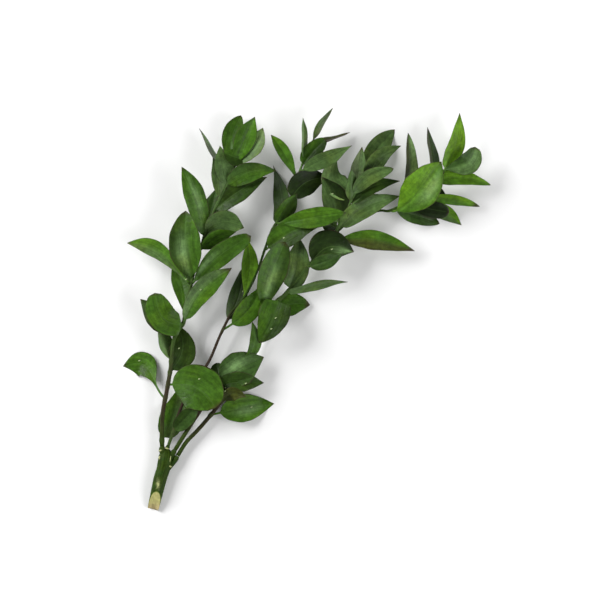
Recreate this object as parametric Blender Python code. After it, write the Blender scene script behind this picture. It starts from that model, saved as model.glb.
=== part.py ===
"""A cut spray of broad-leaved ruscus that lies on a table: a thick cane with four leafy branches.

Metres, +Z up. The table is at z = 0, and the origin lies on it under the middle of the spray.
+Y runs from the cut end of the cane towards the leaf tips. The lists below are in millimetres.
"""

import math
from typing import NamedTuple

import bpy
from mathutils import Matrix, Vector

MM = 0.001
UP = Vector((0.0, 0.0, 1.0))

# Driving dimensions, in millimetres
LEAF_THICKNESS = 0.9
STALK_WIDTH = 2.4
STALK_THICKNESS = 1.8
POINT_WIDTH = 0.9
JOINT_GAP = 0.3
COLLAR_LENGTH = 5.0
COLLAR_TAPER = 2.0
COLLAR_SWELL = 1.35
CUT_LENGTH = 18.5
CUT_STEP_HEIGHT = 4.1
CANE_END_HEIGHT = 11.2
SHARP_ANGLE = math.radians(40)

# Where a blade has rings of points, as shares of its length from its stalk to its point
BLADE_RINGS = (0.0, 0.1, 0.27, 0.46, 0.66, 0.85, 1.0)
# Points in each ring: an upper and an under one at the left edge, the midrib and the right edge
RING_POINTS = 6

STEM_SIDES = 7
CANE_SIDES = 12
# The corners of the cane's end ring that the step in its cut runs between
STEP_CORNERS = (2, 9)
# Steps to each span of a stem's route: for its rings, and for finding where a leaf's root lies on it
STEM_STEPS = 2
SNAP_STEPS = 12

LEAF_ROUGHNESS = 0.45
BARK_ROUGHNESS = 0.55
BARK_COLOR = (0.05, 0.1, 0.02, 1.0)

# The cane's axis from its cut end to its head, as x, y and radius
CANE = (
    (-154.5, -201.0, 5.8),
    (-147.3, -171.0, 6.7),
    (-144.2, -161.0, 6.8),
    (-142.0, -151.0, 7.2),
    (-141.3, -145.0, 6.2),
    (-141.0, -141.5, 3.4),
)


class Leaf(NamedTuple):
    """One leaf. Lengths are in millimetres and angles in degrees.

    root is the x, y where it leaves the stem, and tip is its point. A positive roll lifts the edge
    on the left of the way from root to tip, and twist is more of it at the root than at the tip.
    arch lifts the middle of the midrib, bow moves it to the left, lift raises the blade's base
    above the stem, and fold lifts both edges above the midrib. base and fullness are the outline's
    exponents towards the root and the tip, and are smaller where it is rounder. widest, stalk and
    bend are shares of the length: where the blade is widest, where it begins, and where the bow is
    greatest.
    """

    root: tuple
    tip: tuple
    width: float
    roll: float = 0.0
    arch: float = 4.0
    bow: float = 0.0
    fold: float = 12.0
    widest: float = 0.42
    base: float = 0.75
    fullness: float = 1.0
    stalk: float = 0.07
    bend: float = 0.5
    lift: float = 0.0
    twist: float = 0.0


class Branch(NamedTuple):
    """A leafy branch: its node's name, its stem, its colour and its leaves.

    route and radii are the stem's axis and its end radii, from the cane to its last leaf, and
    collar_from is the point inside the cane that its collar grows from.
    """

    name: str
    route: tuple
    radii: tuple
    color: tuple
    collar_from: tuple
    leaves: tuple


LEFT_BRANCH = Branch(
    name="left_leafy_branch",
    route=(
        (-145, -137, 10),
        (-145.3, -123, 11.5),
        (-144, -102, 14),
        (-140, -81, 16),
        (-136.5, -60, 18),
        (-134.5, -38, 19.5),
        (-131, -25, 20.5),
        (-123.5, -14, 21),
        (-120.5, 3, 22),
        (-115.5, 26, 22.5),
        (-111, 45, 23.5),
        (-104, 68, 24),
        (-96, 90, 24),
        (-88, 109, 24),
        (-79, 127, 23),
        (-73, 142, 22),
        (-66, 147, 22),
        (-58, 150, 22),
    ),
    radii=(2.3, 1.0),
    color=(0.07, 0.16, 0.03, 1.0),
    collar_from=(-142, -152, 8),
    leaves=(
        Leaf((-145, -131), (-130, -81, 3), 26, roll=4, arch=-1, bow=-3.5, base=0.45, lift=-4),
        Leaf(
            (-144, -89), (-184.5, -57.5, -3), 26,
            roll=-3, arch=-1, bow=-13.5, bend=0.67, fold=4, widest=0.64, base=1.4, stalk=0.2,
        ),
        Leaf((-140, -76), (-91, -99, 26), 47, arch=2, bow=10, fold=3, widest=0.5, base=0.55, fullness=0.5),
        Leaf((-136, -64), (-129, -16, 12), 27, roll=4, arch=1, bow=-8.5, fold=5, base=0.7),
        Leaf((-137, -53), (-149, -16, 12), 20, roll=45, arch=0),
        Leaf((-131, -26), (-167, 10, 8), 24, roll=-15, arch=0),
        Leaf(
            (-123, -16), (-152, 16, 30), 28.5,
            arch=3, bow=10.3, bend=0.42, fold=5, widest=0.5, base=0.15, fullness=0.42, stalk=0.02, lift=4,
        ),
        Leaf((-122, -8), (-134, 47, 10), 20, roll=-8, arch=-1, bow=-4.5, widest=0.6, base=0.5),
        Leaf(
            (-123, -13), (-75, 41, 27), 22,
            roll=20, arch=2, bow=7.5, widest=0.55, base=0.35, stalk=0.04, lift=3,
        ),
        Leaf(
            (-117, 25), (-180, 66, 20), 17.5,
            roll=20, arch=-1, bow=-10.2, bend=0.6, widest=0.64, base=0.9, lift=4, twist=-30,
        ),
        Leaf((-115, 28), (-121, 98, 34), 33, roll=-12, arch=4, bow=3, widest=0.48, base=0.6, fullness=0.7),
        Leaf((-113, 23), (-56, 73, 37), 21.5, roll=10, arch=3, bow=4.5, widest=0.5, base=0.8, fullness=0.4),
        Leaf((-107, 59), (-71, 77, 24), 18, roll=30, arch=2, bow=4),
        Leaf((-103, 72), (-63, 81, 20), 30, roll=18, arch=0, bow=9, widest=0.5, base=0.5),
        Leaf((-105, 72), (-125, 142, 32), 22.5, roll=20, arch=2, bow=-3, widest=0.55, base=0.4, stalk=0.03),
        Leaf((-102, 76), (-91, 121, -2), 22, roll=-20, arch=0),
        Leaf((-92, 98), (-40, 132, 20), 22, roll=-15, arch=2, bow=3, base=0.35, stalk=0.04),
        Leaf((-80, 124), (-31, 138, 33), 21, roll=12, arch=2, bow=6, base=0.6, stalk=0.03),
        Leaf((-88, 111), (-94, 151, 30), 20, roll=40, arch=2, bow=-2),
        Leaf((-82, 124), (-87, 163, 26), 21, roll=25, arch=2),
        Leaf((-82, 128), (-108, 181, 14), 16, roll=70, arch=0, fold=8),
        Leaf((-75, 141), (-66, 194, 8), 20, roll=-8, arch=2, bow=6, widest=0.58, fullness=0.75),
        Leaf((-74, 141), (-52, 192, 30), 21, roll=4, arch=2, bow=0.5, widest=0.55, fullness=1.1),
        Leaf((-60, 150), (-84, 158, 27), 18, roll=15, arch=2, bow=2, base=0.6),
        Leaf((-71, 143), (-44, 181, 27), 18, roll=-20, arch=2, bow=-4.5, widest=0.6, base=0.45),
    ),
)

MIDDLE_BRANCH = Branch(
    name="middle_leafy_branch",
    route=(
        (-138.5, -136, 9),
        (-134, -123, 10),
        (-128, -104, 11),
        (-117, -79, 12),
        (-99, -54, 13),
        (-88, -29, 15),
        (-80, -12, 16),
        (-76, -4, 16.5),
        (-62, 13, 17.5),
        (-50, 37, 19),
        (-43, 57, 20),
        (-35, 79, 22),
        (-23, 97, 23),
        (-12, 121, 24),
        (-6, 141, 24),
        (2, 161, 24),
        (6, 168, 24),
    ),
    radii=(1.6, 0.95),
    color=(0.06, 0.12, 0.03, 1.0),
    collar_from=(-141, -151, 8),
    leaves=(
        Leaf((-133, -124), (-107, -94, 20), 17, roll=8, arch=1, base=0.55),
        Leaf((-85, -20), (-64, 41, 6), 20, roll=-25, arch=0, bow=-5, bend=0.55, fullness=0.6, stalk=0.18),
        Leaf((-82, -22), (-45, 24, 18), 23, roll=12, arch=1, bow=-6, stalk=0.18),
        Leaf((-64, 11), (-59, 69, 20), 17, roll=8, arch=0, bow=-3.5, widest=0.52),
        Leaf((-41, 59), (17, 83, 31), 26, roll=-4, arch=0, bow=7, bend=0.55, base=0.5, fullness=1.4),
        Leaf((-34, 80), (-34, 144, -2), 17, roll=-22, arch=0, bow=-9, bend=0.4, base=0.4, fullness=1.35),
        Leaf((-29, 85), (-10, 115, 32), 19, roll=25, arch=2, base=0.5),
        Leaf((-30, 85), (39, 96, 40), 22, roll=16, arch=6, bow=0.5, widest=0.55, base=0.7),
        Leaf((-17, 108), (22, 132, 14), 26, arch=1, bow=7, base=0.5, lift=6),
        Leaf((-11, 129), (-36, 174, 26), 13, roll=12, arch=0, bow=-2.5, widest=0.6),
        Leaf((-6, 138), (45, 163, 36), 18, roll=25, arch=3, bow=0, fullness=1.25),
        Leaf((-4, 142), (19, 170, 27), 18, arch=1, bow=1.5, base=0.5, fullness=0.5),
        Leaf((-3, 148), (-4, 191, 28), 15, roll=62, arch=1, bow=-0.5, fold=8),
        Leaf((6, 167), (26, 201, 26), 14, roll=60, arch=1, bow=2.5, fold=8),
        Leaf((5, 165), (43, 177, 8), 9, roll=-55, arch=0, bow=-1, fold=8),
    ),
)

RIGHT_BRANCH = Branch(
    name="right_leafy_branch",
    route=(
        (-132, -141, 8.5),
        (-117, -117, 9.5),
        (-107, -102, 10.5),
        (-85, -69, 12),
        (-72, -57, 13),
        (-61, -47, 14.5),
        (-54, -39, 16),
        (-47.5, -29, 17),
        (-43.5, -15, 18.5),
        (-40, -4, 19.5),
        (-32, 6, 20.5),
        (-20, 17, 22),
        (-5, 35, 23),
        (19, 65, 24),
        (28, 76, 25),
        (40, 100, 25),
        (50, 119, 25),
        (62, 131, 25),
    ),
    radii=(2.1, 1.1),
    color=(0.05, 0.13, 0.03, 1.0),
    collar_from=(-140, -154, 7.5),
    leaves=(
        Leaf((-92, -80), (-43, -74, 16), 21, arch=3, bow=3.5, bend=0.4, base=0.45, lift=5),
        Leaf((-88, -72), (-43, -48, 18), 35, roll=8, arch=3, bow=2, fold=8, base=0.6, lift=5),
        Leaf((-66, -51), (-55, -12, 28), 18, roll=50, arch=4, bow=-9, bend=0.4, fold=8),
        Leaf(
            (-40, -4), (-22, 67, 34), 28.5,
            roll=15, arch=6, bow=6, bend=0.35, widest=0.55, base=0.6, fullness=0.5,
        ),
        Leaf(
            (-28, 9), (-48, -34, 24), 31,
            arch=4, bow=2.5, widest=0.32, base=0.25, fullness=0.8, stalk=0.03, lift=5,
        ),
        Leaf(
            (-20, 17), (41, 27, 18), 12.5,
            roll=50, arch=1, bow=2.4, bend=0.65, fold=8, widest=0.5, base=0.15, stalk=0.02,
        ),
        Leaf((-18, 19), (-8, 72, 18), 26, roll=8, arch=0, bow=-3, base=0.4, stalk=0.03),
        Leaf((3, 43), (47, 57, 24), 36, arch=3, bow=11.5, fold=4, base=0.9, lift=6),
        Leaf((1, 41), (36, 55, 32), 16, roll=12, arch=3, bow=-1, lift=6),
        Leaf((20, 66), (108, 58, 14), 20, roll=14, arch=3, bow=7.5, bend=0.47, base=1.15, stalk=0.14),
        Leaf((30, 79), (93, 113, 11), 21, roll=-2, arch=5, bow=6.5, base=0.45),
        Leaf((32, 84), (15, 132, 28), 29, roll=20, arch=0, bow=-3, fold=24, base=0.5),
        Leaf((43, 107), (30, 152, 16), 27, roll=20, arch=0, bow=11, bend=0.6, base=0.6),
        Leaf((43, 107), (44, 140, 35), 16, roll=40, arch=1),
        Leaf((50, 118), (55, 162, 28), 16, roll=-12, arch=0),
        Leaf((53, 123), (88, 180, -2), 22, roll=10, arch=2, bow=5, widest=0.55, fullness=0.8),
        Leaf((58, 128), (94, 163, 28), 21, roll=35, arch=1, bow=8, base=0.6),
        Leaf((46, 112), (86.5, 140, 34), 17, roll=25, arch=1, bow=7.5, bend=0.45, base=0.6, fullness=0.6),
        Leaf((43, 106), (93, 128, 17), 15, roll=-15, arch=0, bow=6, base=0.2, stalk=0.03),
        Leaf((-86, -70), (-91, -54, 7), 15, roll=-8, arch=-1, widest=0.55, fullness=0.6),
        Leaf((31, 81), (14, 88, 18), 16, arch=0, base=0.5),
    ),
)

FAR_RIGHT_BRANCH = Branch(
    name="far_right_leafy_branch",
    route=(
        (-129.5, -147, 7.5),
        (-120.5, -133, 7.5),
        (-109, -121, 7.5),
        (-94, -103.5, 8),
        (-87, -94, 8),
        (-78, -84, 8),
        (-64, -68, 8),
        (-56, -50, 8),
        (-51, -38, 8),
        (-45.5, -26, 8),
        (-42, -13, 8),
        (-38, -4, 8),
        (-30, 6, 8),
        (-19, 17, 8),
        (-4, 35, 8),
        (10, 53, 8.5),
        (21, 67, 9),
        (31, 78, 9.5),
        (40, 86, 10),
        (50, 91.5, 11),
        (62, 96.5, 12.5),
        (74, 98.5, 14.5),
        (85, 99, 16),
        (111, 113, 20),
        (133, 133, 22),
        (137, 139, 22),
    ),
    radii=(2.1, 1.1),
    color=(0.08, 0.15, 0.04, 1.0),
    collar_from=(-141, -162, 7.5),
    leaves=(
        Leaf((-96, -106), (-33, -95, -4), 28, roll=-4, arch=4, bow=1, stalk=0.15),
        Leaf((-85, -93), (-61, -88, 20), 15, roll=20, arch=8, bow=5.5, base=0.6),
        Leaf(
            (-40, -9), (3, 4, 4), 23,
            roll=-8, arch=1, bow=6, bend=0.55, widest=0.52, base=0.5, fullness=0.85,
        ),
        Leaf(
            (84, 97), (134, 147, 34), 38,
            roll=10, arch=6, bow=-6.5, bend=0.28, widest=0.5, base=0.85, fullness=0.85,
        ),
        Leaf((88, 101), (101, 176, 24), 21, roll=50, arch=1, bow=-9, bend=0.38, widest=0.5, fullness=0.8),
        Leaf((129, 129), (120.5, 182, 14), 19, roll=58, arch=0),
        Leaf((136, 137), (152.5, 196, 26), 19, roll=25, arch=1, bow=-4.5, widest=0.38, base=0.5),
        Leaf(
            (137, 139), (168, 162, 28), 22,
            roll=12, arch=3, bow=-8.5, bend=0.6, widest=0.6, base=0.6, fullness=0.5,
        ),
        Leaf(
            (130, 130), (184, 124, 14), 16,
            roll=-14, arch=2, bow=3.5, widest=0.32, base=0.3, fullness=0.8, stalk=0.03,
        ),
        Leaf((109, 111), (173, 102.5, 9), 11, roll=25, arch=1, bow=3.5, bend=0.6, widest=0.55, fullness=0.8),
        Leaf((98, 105), (155, 84, -3), 17, roll=30, arch=0, bow=8, widest=0.6),
        Leaf((88, 99), (133, 85.5, -2), 18, roll=-8, arch=0, bow=1, fullness=0.7),
        Leaf((100, 106), (142.5, 97, 12), 17, roll=10, arch=0, bow=-1, widest=0.6, base=0.5, fullness=0.4),
        Leaf((121, 120), (139, 114, 16), 11, roll=20, arch=0),
    ),
)

BRANCHES = (LEFT_BRANCH, MIDDLE_BRANCH, RIGHT_BRANCH, FAR_RIGHT_BRANCH)


def smooth_route(points, steps):
    """Points along a smooth curve through the given ones, with this many steps to each span."""
    knots = [Vector(p) for p in points]
    ends = [2 * knots[0] - knots[1]] + knots + [2 * knots[-1] - knots[-2]]
    curve = []
    for before, here, after, beyond in zip(ends, ends[1:], ends[2:], ends[3:]):
        for step in range(steps):
            t = step / steps
            curve.append(
                0.5
                * (
                    2 * here
                    + (after - before) * t
                    + (2 * before - 5 * here + 4 * after - beyond) * t**2
                    + (3 * here - before - 3 * after + beyond) * t**3
                )
            )
    curve.append(knots[-1])
    return curve


def direction_at(points, index):
    """The unit direction of a row of points at one of them."""
    before = points[max(index - 1, 0)]
    after = points[min(index + 1, len(points) - 1)]
    return (after - before).normalized()


def tube(points, radii, sides):
    """The corners and faces of a closed tube with flat ends. A flat side faces straight down."""
    corners = []
    for index, (point, radius) in enumerate(zip(points, radii)):
        forward = direction_at(points, index)
        side = UP.cross(forward).normalized()
        lift = forward.cross(side)
        for corner in range(sides):
            angle = 2 * math.pi * (corner + 0.5) / sides - math.pi / 2
            corners.append(point + radius * (math.cos(angle) * side + math.sin(angle) * lift))
    faces = []
    for ring in range(len(points) - 1):
        for corner in range(sides):
            a = ring * sides + corner
            b = ring * sides + (corner + 1) % sides
            faces.append((a, b, b + sides))
            faces.append((a, b + sides, a + sides))
    last = (len(points) - 1) * sides
    faces.append(tuple(reversed(range(sides))))
    faces.append(tuple(last + corner for corner in range(sides)))
    return corners, faces


def hump(share, peak):
    """A smooth hump over 0 to 1 that is 1 at its peak and 0 at both ends."""
    skew = math.log(0.5) / math.log(peak)
    return max(0.0, math.sin(math.pi * share**skew))


def half_width(leaf, share):
    """Half the blade's width at a share of its length from its stalk to its point."""
    if share < leaf.widest:
        return max(leaf.width / 2 * hump(share, leaf.widest) ** leaf.base, STALK_WIDTH / 2)
    return max(leaf.width / 2 * hump(share, leaf.widest) ** leaf.fullness, POINT_WIDTH / 2)


def midrib(leaf, root, places):
    """The midrib's points at places from 0, its root on the stem's axis, to 1, its point."""
    span = Vector(leaf.tip) - root
    left = UP.cross(span).normalized()
    points = []
    for place in places:
        sideways = leaf.bow * hump(place, leaf.bend)
        upwards = leaf.arch * hump(place, 0.5) + leaf.lift * (1 - place) * min(1.0, place / leaf.stalk)
        points.append(root + place * span + sideways * left + upwards * UP)
    return points


def blade(leaf, root):
    """The corners and faces of one leaf: a thin closed blade, three points wide, folded at its midrib."""
    shares = (0.0,) + BLADE_RINGS
    places = [0.0] + [leaf.stalk + (1 - leaf.stalk) * share for share in BLADE_RINGS]
    spine = midrib(leaf, root, places)
    fold = math.tan(math.radians(leaf.fold))
    corners = []
    for index, (point, place, share) in enumerate(zip(spine, places, shares)):
        forward = direction_at(spine, index)
        turn = Matrix.Rotation(math.radians(leaf.roll + leaf.twist * (1 - place)), 3, forward)
        left = turn @ UP.cross(forward).normalized()
        normal = turn @ forward.cross(UP.cross(forward).normalized())
        half = half_width(leaf, share)
        thick = LEAF_THICKNESS if share else STALK_THICKNESS
        for across in (1, 0, -1):
            middle = point + half * (across * left + abs(across) * fold * normal)
            under = middle - thick / 2 * normal
            over = middle + thick / 2 * normal
            lift = max(0.0, -min(under.z, over.z))
            corners.append(over + lift * UP)
            corners.append(under + lift * UP)
    faces = []
    step = RING_POINTS
    for ring in range(len(spine) - 1):
        first = step * ring
        left_over, left_under, mid_over, mid_under, right_over, right_under = range(first, first + step)
        faces += [
            (left_over, mid_over, mid_over + step),
            (left_over, mid_over + step, left_over + step),
            (mid_over, right_over, mid_over + step),
            (right_over, right_over + step, mid_over + step),
            (left_under, mid_under + step, mid_under),
            (left_under, left_under + step, mid_under + step),
            (mid_under, mid_under + step, right_under),
            (right_under, mid_under + step, right_under + step),
            (left_over, left_over + step, left_under + step),
            (left_over, left_under + step, left_under),
            (right_over, right_under, right_under + step),
            (right_over, right_under + step, right_over + step),
        ]
    end = step * (len(spine) - 1)
    faces += [(0, 1, 3), (0, 3, 2), (2, 3, 5), (2, 5, 4)]
    faces += [(end, end + 3, end + 1), (end, end + 2, end + 3)]
    faces += [(end + 2, end + 5, end + 3), (end + 2, end + 4, end + 5)]
    return corners, faces


def nearest(points, spot):
    """The one of the points that is nearest to a spot in plan."""
    return min(points, key=lambda p: (p.x - spot[0]) ** 2 + (p.y - spot[1]) ** 2)


def add_object(name, corners, faces, collection):
    """A new mesh object from corners in millimetres."""
    mesh = bpy.data.meshes.new(name)
    mesh.from_pydata([MM * corner for corner in corners], [], faces)
    mesh.validate()
    item = bpy.data.objects.new(name, mesh)
    collection.objects.link(item)
    return item


def plant_material(name, color, roughness):
    """A green surface that is glossy where it is waxy, and duller where it is bark."""
    material = bpy.data.materials.new(name)
    material.use_nodes = True
    shader = material.node_tree.nodes["Principled BSDF"]
    shader.inputs["Base Color"].default_value = color
    shader.inputs["Roughness"].default_value = roughness
    shader.inputs["Metallic"].default_value = 0.0
    return material


def fuse(item, pieces):
    """Join a list of pieces to an object in one Boolean union, and remove the pieces."""
    modifier = item.modifiers.new("fused", "BOOLEAN")
    modifier.operation = "UNION"
    modifier.solver = "EXACT"
    modifier.operand_type = "COLLECTION"
    modifier.collection = pieces
    graph = bpy.context.evaluated_depsgraph_get()
    fused = bpy.data.meshes.new_from_object(item.evaluated_get(graph))
    item.modifiers.remove(modifier)
    item.data = fused
    for piece in list(pieces.objects):
        bpy.data.objects.remove(piece)
    bpy.data.collections.remove(pieces)


def new_collection(name):
    """A collection for the pieces of one node."""
    collection = bpy.data.collections.new(name)
    bpy.context.scene.collection.children.link(collection)
    return collection


def finish(item, origin, material):
    """Give an object its origin, its material and smooth shading with sharp rims."""
    item.data.transform(Matrix.Translation(-MM * origin))
    item.location = MM * origin
    item.data.materials.clear()
    item.data.materials.append(material)
    item.data.shade_smooth()
    item.data.set_sharp_from_angle(angle=SHARP_ANGLE)


def stem_points(branch):
    """The stem's axis, and its radius at each point."""
    axis = smooth_route(branch.route, STEM_STEPS)
    thick, thin = branch.radii
    last = len(axis) - 1
    radii = [thick + (thin - thick) * index / last for index in range(len(axis))]
    return axis, radii


def make_branch(branch):
    """A leafy branch: its stem, with every leaf's root sunk to the stem's axis and fused in."""
    name = branch.name
    axis, radii = stem_points(branch)
    stem = add_object(name, *tube(axis, radii, STEM_SIDES), bpy.context.scene.collection)
    snap = smooth_route(branch.route, SNAP_STEPS)
    pieces = new_collection(name + "_leaves")
    for number, leaf in enumerate(branch.leaves):
        add_object(f"{name}_leaf_{number}", *blade(leaf, nearest(snap, leaf.root)), pieces)
    fuse(stem, pieces)
    finish(stem, axis[0], plant_material(name, branch.color, LEAF_ROUGHNESS))
    return stem


def cane_axis():
    """The cane's axis and radii. Its centre is as high as lets its lowest side lie on the table."""
    flat = math.cos(math.pi / CANE_SIDES)
    axis = [Vector((x, y, radius * flat)) for x, y, radius in CANE]
    return axis, [radius for x, y, radius in CANE]


def cut_end_faces():
    """The two flat faces of the cut end: an upright one below the step, and a slanting one above it."""
    first, last = STEP_CORNERS
    lower = tuple(range(first, -1, -1)) + tuple(range(CANE_SIDES - 1, last - 1, -1))
    upper = tuple(range(last, first - 1, -1))
    return lower, upper


def make_cane():
    """The cane, with its stepped oblique cut end and a short collar for each branch."""
    axis, radii = cane_axis()
    corners, faces = tube(axis, radii, CANE_SIDES)
    faces.remove(tuple(reversed(range(CANE_SIDES))))
    faces += cut_end_faces()
    forward = direction_at(axis, 0)
    for index in range(CANE_SIDES):
        height = max(0.0, corners[index].z - CUT_STEP_HEIGHT) / (CANE_END_HEIGHT - CUT_STEP_HEIGHT)
        corners[index] += forward * CUT_LENGTH * height
        corners[index].z = max(corners[index].z, 0.0)
    cane = add_object("main_cane", corners, faces, bpy.context.scene.collection)
    collars = new_collection("collars")
    for branch in BRANCHES:
        route, stem_radii = stem_points(branch)
        along = direction_at(route, 0)
        top = route[0] - JOINT_GAP * along
        widest_from = top - COLLAR_LENGTH * along
        widest_to = top - COLLAR_TAPER * along
        points = [Vector(branch.collar_from), widest_from, widest_to, top]
        radius = stem_radii[0]
        swell = COLLAR_SWELL * radius
        collar_radii = (swell, swell, swell, radius)
        add_object(branch.name + "_collar", *tube(points, collar_radii, STEM_SIDES), collars)
    fuse(cane, collars)
    finish(cane, axis[0], plant_material("main_cane", BARK_COLOR, BARK_ROUGHNESS))
    return cane


def main():
    """Clear the scene and build the cane and its branches, each branch parented to the cane."""
    for item in list(bpy.data.objects):
        bpy.data.objects.remove(item)
    cane = make_cane()
    for branch in BRANCHES:
        item = make_branch(branch)
        item.parent = cane
        item.location -= cane.location


if __name__ == "__main__":
    main()
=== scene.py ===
"""A cut spray of broad-leaved ruscus on a pale table, seen from straight above.

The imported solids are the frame. Fine leaves, stems and bark replace them, from the same rows of
lengths as the solids. The lists below are in millimetres, and the table is at z = 0.
"""

import math
import random
from typing import NamedTuple

import bpy
from mathutils import Matrix, Vector, noise
from mathutils.bvhtree import BVHTree


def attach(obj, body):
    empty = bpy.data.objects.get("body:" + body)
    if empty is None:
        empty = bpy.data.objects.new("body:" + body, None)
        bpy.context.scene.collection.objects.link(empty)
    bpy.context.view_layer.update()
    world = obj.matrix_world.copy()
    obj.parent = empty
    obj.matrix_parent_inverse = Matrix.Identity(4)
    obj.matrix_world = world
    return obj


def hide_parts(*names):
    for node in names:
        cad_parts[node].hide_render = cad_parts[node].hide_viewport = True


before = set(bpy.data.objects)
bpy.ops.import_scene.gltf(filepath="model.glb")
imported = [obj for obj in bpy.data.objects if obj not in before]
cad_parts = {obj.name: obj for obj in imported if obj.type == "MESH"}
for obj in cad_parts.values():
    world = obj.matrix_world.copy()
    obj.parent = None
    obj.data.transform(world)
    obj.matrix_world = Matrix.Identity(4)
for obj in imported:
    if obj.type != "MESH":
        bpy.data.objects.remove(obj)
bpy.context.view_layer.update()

SEED = 7
MM = 0.001
UP = Vector((0.0, 0.0, 1.0))

# Leaves
BLADE_THICKNESS = 0.5
PETIOLE_WIDTH = 2.2
PETIOLE_THICKNESS = 1.2
POINT_WIDTH = 0.3
PETIOLE_STEPS = 4
BLADE_STEPS = 26
ACROSS = (1.0, 0.97, 0.88, 0.7, 0.48, 0.24, 0.07, 0.0, -0.07, -0.24, -0.48, -0.7, -0.88, -0.97, -1.0)
GROOVE_DEPTH = 0.16
KEEL_DEPTH = 0.3
MIDRIB_WIDTH = 0.55
WAVE_HEIGHT = 0.8
WAVE_COUNTS = (0.8, 1.5)
RAGGED_SHARE = 0.05
RAGGED_COUNT = 7.0
RAGGED_SPREAD = 50
# The steepest blades rise straight from the midrib, and level off towards the rim
STEEP_RISE = 1.6
STEEP_LEVELLING = 0.8

# The leaves' colours, with reaches as shares of the blade and strengths from 0 to 1
SHADES = (0.92, 1.08)
HALVES_BLEND = 0.45
STALK_REACH = 0.12
STALK_STRENGTH = 0.12
# The painted sheen: a pale patch painted into some leaves' colour in place of a highlight of the lamps
PAINTED_SHEEN_LENGTH = 0.26
PAINTED_SHEEN_WIDTH = 0.3
PAINTED_SHEEN_STRENGTH = 0.95
# Where the brown point starts and where it is full, in times the leaf's own brown share
DRY_SPAN = (1.5, 0.4)
DRY_STRENGTH = 0.85
UNDERSIDE_STRENGTH = 0.55

# Stems
STEM_SIDES = 14
STEM_STEPS = 6
SNAP_STEPS = 12
STEM_RIDGES = 5
RIDGE_SHARE = 0.05
JOINT_SWELL = 0.28
JOINT_REACH = 2.2
JOINT_GREEN = 0.4
JOINT_GAP = 0.3
COLLAR_LENGTH = 5.0
COLLAR_TAPER = 2.0
COLLAR_TAPER_START = 0.55
COLLAR_SWELL = 1.35

# Cane
CANE_SIDES = 40
CANE_STEPS = 14
CUT_LENGTH = 18.5
CUT_CURVE = 0.75
CUT_STEP_HEIGHT = 4.1
CANE_END_HEIGHT = 11.2
CUT_REACH = 30.0
# The cut face's rings: each one's share of the way out to the rim, and its tone
CUT_RINGS = ((1.0, "cut_rim"), (0.95, "cut_rim"), (0.9, "cut"), (0.6, "cut"), (0.3, "cut"))
CUT_LOW_STRENGTH = 0.8
BARK_BUMPS = 0.12
BARK_BUMP_SCALE = 0.6
MOTTLE_SCALE = 0.25
MOTTLE_RANGE = (-0.2, 0.5)

# The cane's axis from its cut end to its head, as x, y and radius
CANE = (
    (-154.5, -201.0, 5.8),
    (-147.3, -171.0, 6.7),
    (-144.2, -161.0, 6.8),
    (-142.0, -151.0, 7.2),
    (-141.3, -145.0, 6.2),
    (-141.0, -141.5, 3.4),
)

# Small rough lumps, such as scars, buds and scales
LUMP_RINGS = 8
LUMP_SIDES = 12
LUMP_NOISE_SCALE = 1.7

# Pale torn spots on the cane's head: x, y, length, width and the heading in degrees from +X
SCARS = (
    (-147.6, -149.0, 3.6, 2.2, 70.0),
    (-146.6, -141.6, 4.4, 1.5, 15.0),
    (-140.4, -139.6, 4.2, 1.4, -10.0),
    (-137.6, -157.4, 4.4, 1.5, -25.0),
    (-136.9, -150.5, 6.5, 0.8, 80.0),
)
SCAR_HEIGHT = 0.6
SCAR_BUMPS = 0.7
# A pale scuff on the bark above the cut: x, y, length and width
SCUFF = (-149.2, -175.5, 7.5, 2.6)
# It grows stronger between these heights, and its edge is ragged
SCUFF_HEIGHTS = (3.0, 7.0)
SCUFF_RAGGED = 0.5
SCUFF_RAGGED_SCALE = 1.1
SCUFF_STRENGTH = 0.85

# Tiny pale flower buds that sit on the leaves, as x, y
BUDS = (
    (-168.5, -52.0), (-128.5, -39.5), (-64.5, 17.5), (-23.5, 71.0), (-61.5, -74.5),
    (-82.0, -79.0), (-82.0, -82.0), (-31.5, -9.0), (-36.0, -20.0), (24.5, 59.5),
    (25.0, 115.0), (-56.0, -98.5), (-108.0, -70.0), (-121.0, 29.5), (-106.6, 19.2),
)
BUD_SIZE = 0.65
# Each place has two buds: how far each is from it in x and y, and its share of the size
BUD_PAIR = (((0.0, 0.0), 1.0), ((0.9, 0.4), 0.7))
BUD_LIFT = 0.35
BUD_FLATNESS = 0.8
BUD_BUMPS = 0.25

# Dry scales at the joints, which the leaves grow out of
SCALE_SIZES = (1.5, 0.5, 0.3)
SCALE_SHIFT = 1.6
# How many stem radii each is moved upwards and outwards, and its widest turn in radians
SCALE_UP = 0.75
SCALE_OUT = 0.6
SCALE_TURN = 0.3
SCALE_BUMPS = 0.35

# The stage, in metres and watts
FLOOR_HALF = 12.0
KEY_LIGHT = {"place": (-2.4, 1.4, 1.7), "size": 2.0, "watts": 145.0}
FILL_LIGHT = {"place": (2.4, -1.0, 1.7), "size": 2.4, "watts": 75.0}
SURROUND_STRENGTH = 0.26
CAMERA_PLACE = (-0.007, 0.009, 6.02)
CAMERA_SENSOR = 36.0
CAMERA_LENS = 360.0
CAMERA_REACH = 100.0
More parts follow.
